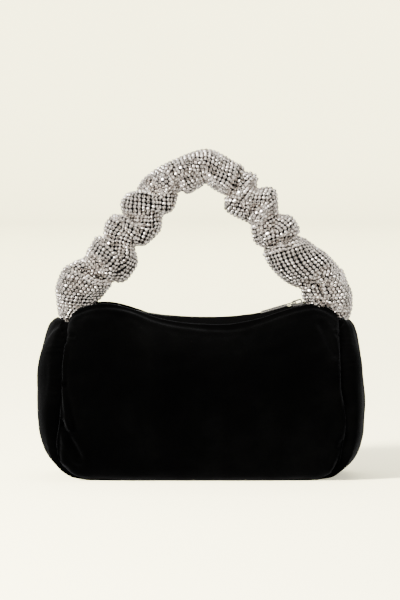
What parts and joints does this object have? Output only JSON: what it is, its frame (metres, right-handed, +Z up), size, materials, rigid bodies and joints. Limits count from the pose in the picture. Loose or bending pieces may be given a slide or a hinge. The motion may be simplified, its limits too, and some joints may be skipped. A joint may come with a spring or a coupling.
{
  "type": "evening bag",
  "caption": "Small stuffed velvet top-handle evening bag with a dipped zipped mouth, silver zip pull and a gathered crystal-mesh handle.",
  "frame": {"origin": "centre of the flat base, on the surface that the bag stands on", "axes": "+X to the right seen from the front, -Y towards the front face, +Z up"},
  "size_m": [0.2504, 0.0926, 0.2509],
  "materials": {
    "velvet": "black velvet pile",
    "wadding": "needled polyester wadding",
    "lining": "black twill lining",
    "board": "grey-brown board",
    "tape": "black woven tape",
    "coil": "black nylon coil",
    "silver": "polished silver plating",
    "crystal_mesh": "clear faceted stones in silver cups on a black net",
    "cord": "black padded cord"
  },
  "bodies": {
    "bag": {"front_panel": "velvet", "back_panel": "velvet", "left_gusset": "velvet", "right_gusset": "velvet", "base_panel": "velvet", "front_wadding": "wadding", "back_wadding": "wadding", "left_wadding": "wadding", "right_wadding": "wadding", "base_board": "board", "front_lining": "lining", "back_lining": "lining", "left_lining": "lining", "right_lining": "lining", "base_lining": "lining", "slip_pocket": "lining", "closed_coil": "coil", "top_stops": "silver", "bottom_stop": "silver", "left_end_tab": "velvet", "right_end_tab": "velvet", "left_anchor": "tape", "right_anchor": "tape", "left_sleeve_end": "crystal_mesh", "right_sleeve_end": "crystal_mesh"},
    "mouth_front": {"front_tape": "tape", "front_coil": "coil"},
    "mouth_back": {"back_tape": "tape", "back_coil": "coil"},
    "slider": {"slider_body": "silver"},
    "pull": {"pull_tab": "silver"},
    "handle_lower": {"left_sleeve": "crystal_mesh", "right_sleeve": "crystal_mesh", "left_cord": "cord", "right_cord": "cord"},
    "handle_upper": {"top_sleeve": "crystal_mesh", "top_cord": "cord"}
  },
  "joints": [
    {"name": "slider_travel", "type": "hinge", "parent": "bag", "child": "slider", "pos_m": [0.006, 0, 0.3662], "axis": [0, 1, 0], "range_deg": [0, 28.75]},
    {"name": "pull_swing", "type": "hinge", "parent": "slider", "child": "pull", "pos_m": [0.07397, 0, 0.13472], "axis": [0, 1, 0], "range_deg": [0, 68]},
    {"name": "mouth_front_open", "type": "hinge", "parent": "bag", "child": "mouth_front", "pos_m": [-0.041, 0, 0.12575], "axis": [-0.9984, 0, -0.0569], "range_deg": [0, 55], "deforming": ["front_tape", "front_coil"]},
    {"name": "mouth_back_open", "type": "hinge", "parent": "bag", "child": "mouth_back", "pos_m": [-0.041, 0, 0.12575], "axis": [0.9984, 0, 0.0569], "range_deg": [0, 55], "deforming": ["back_tape", "back_coil"]},
    {"name": "handle_swing", "type": "hinge", "parent": "bag", "child": "handle_lower", "pos_m": [0, 0, 0.146], "axis": [1, 0, 0], "range_deg": [-50, 50]},
    {"name": "handle_droop", "type": "hinge", "parent": "handle_lower", "child": "handle_upper", "pos_m": [0, 0, 0.198], "axis": [1, 0, 0], "range_deg": [-50, 50]}
  ],
  "couplings": [
    {"joint": "mouth_front_open", "follows": "slider_travel", "ratio": 1.9},
    {"joint": "mouth_back_open", "follows": "slider_travel", "ratio": 1.9},
    {"joint": "handle_droop", "follows": "handle_swing", "ratio": 1}
  ]
}
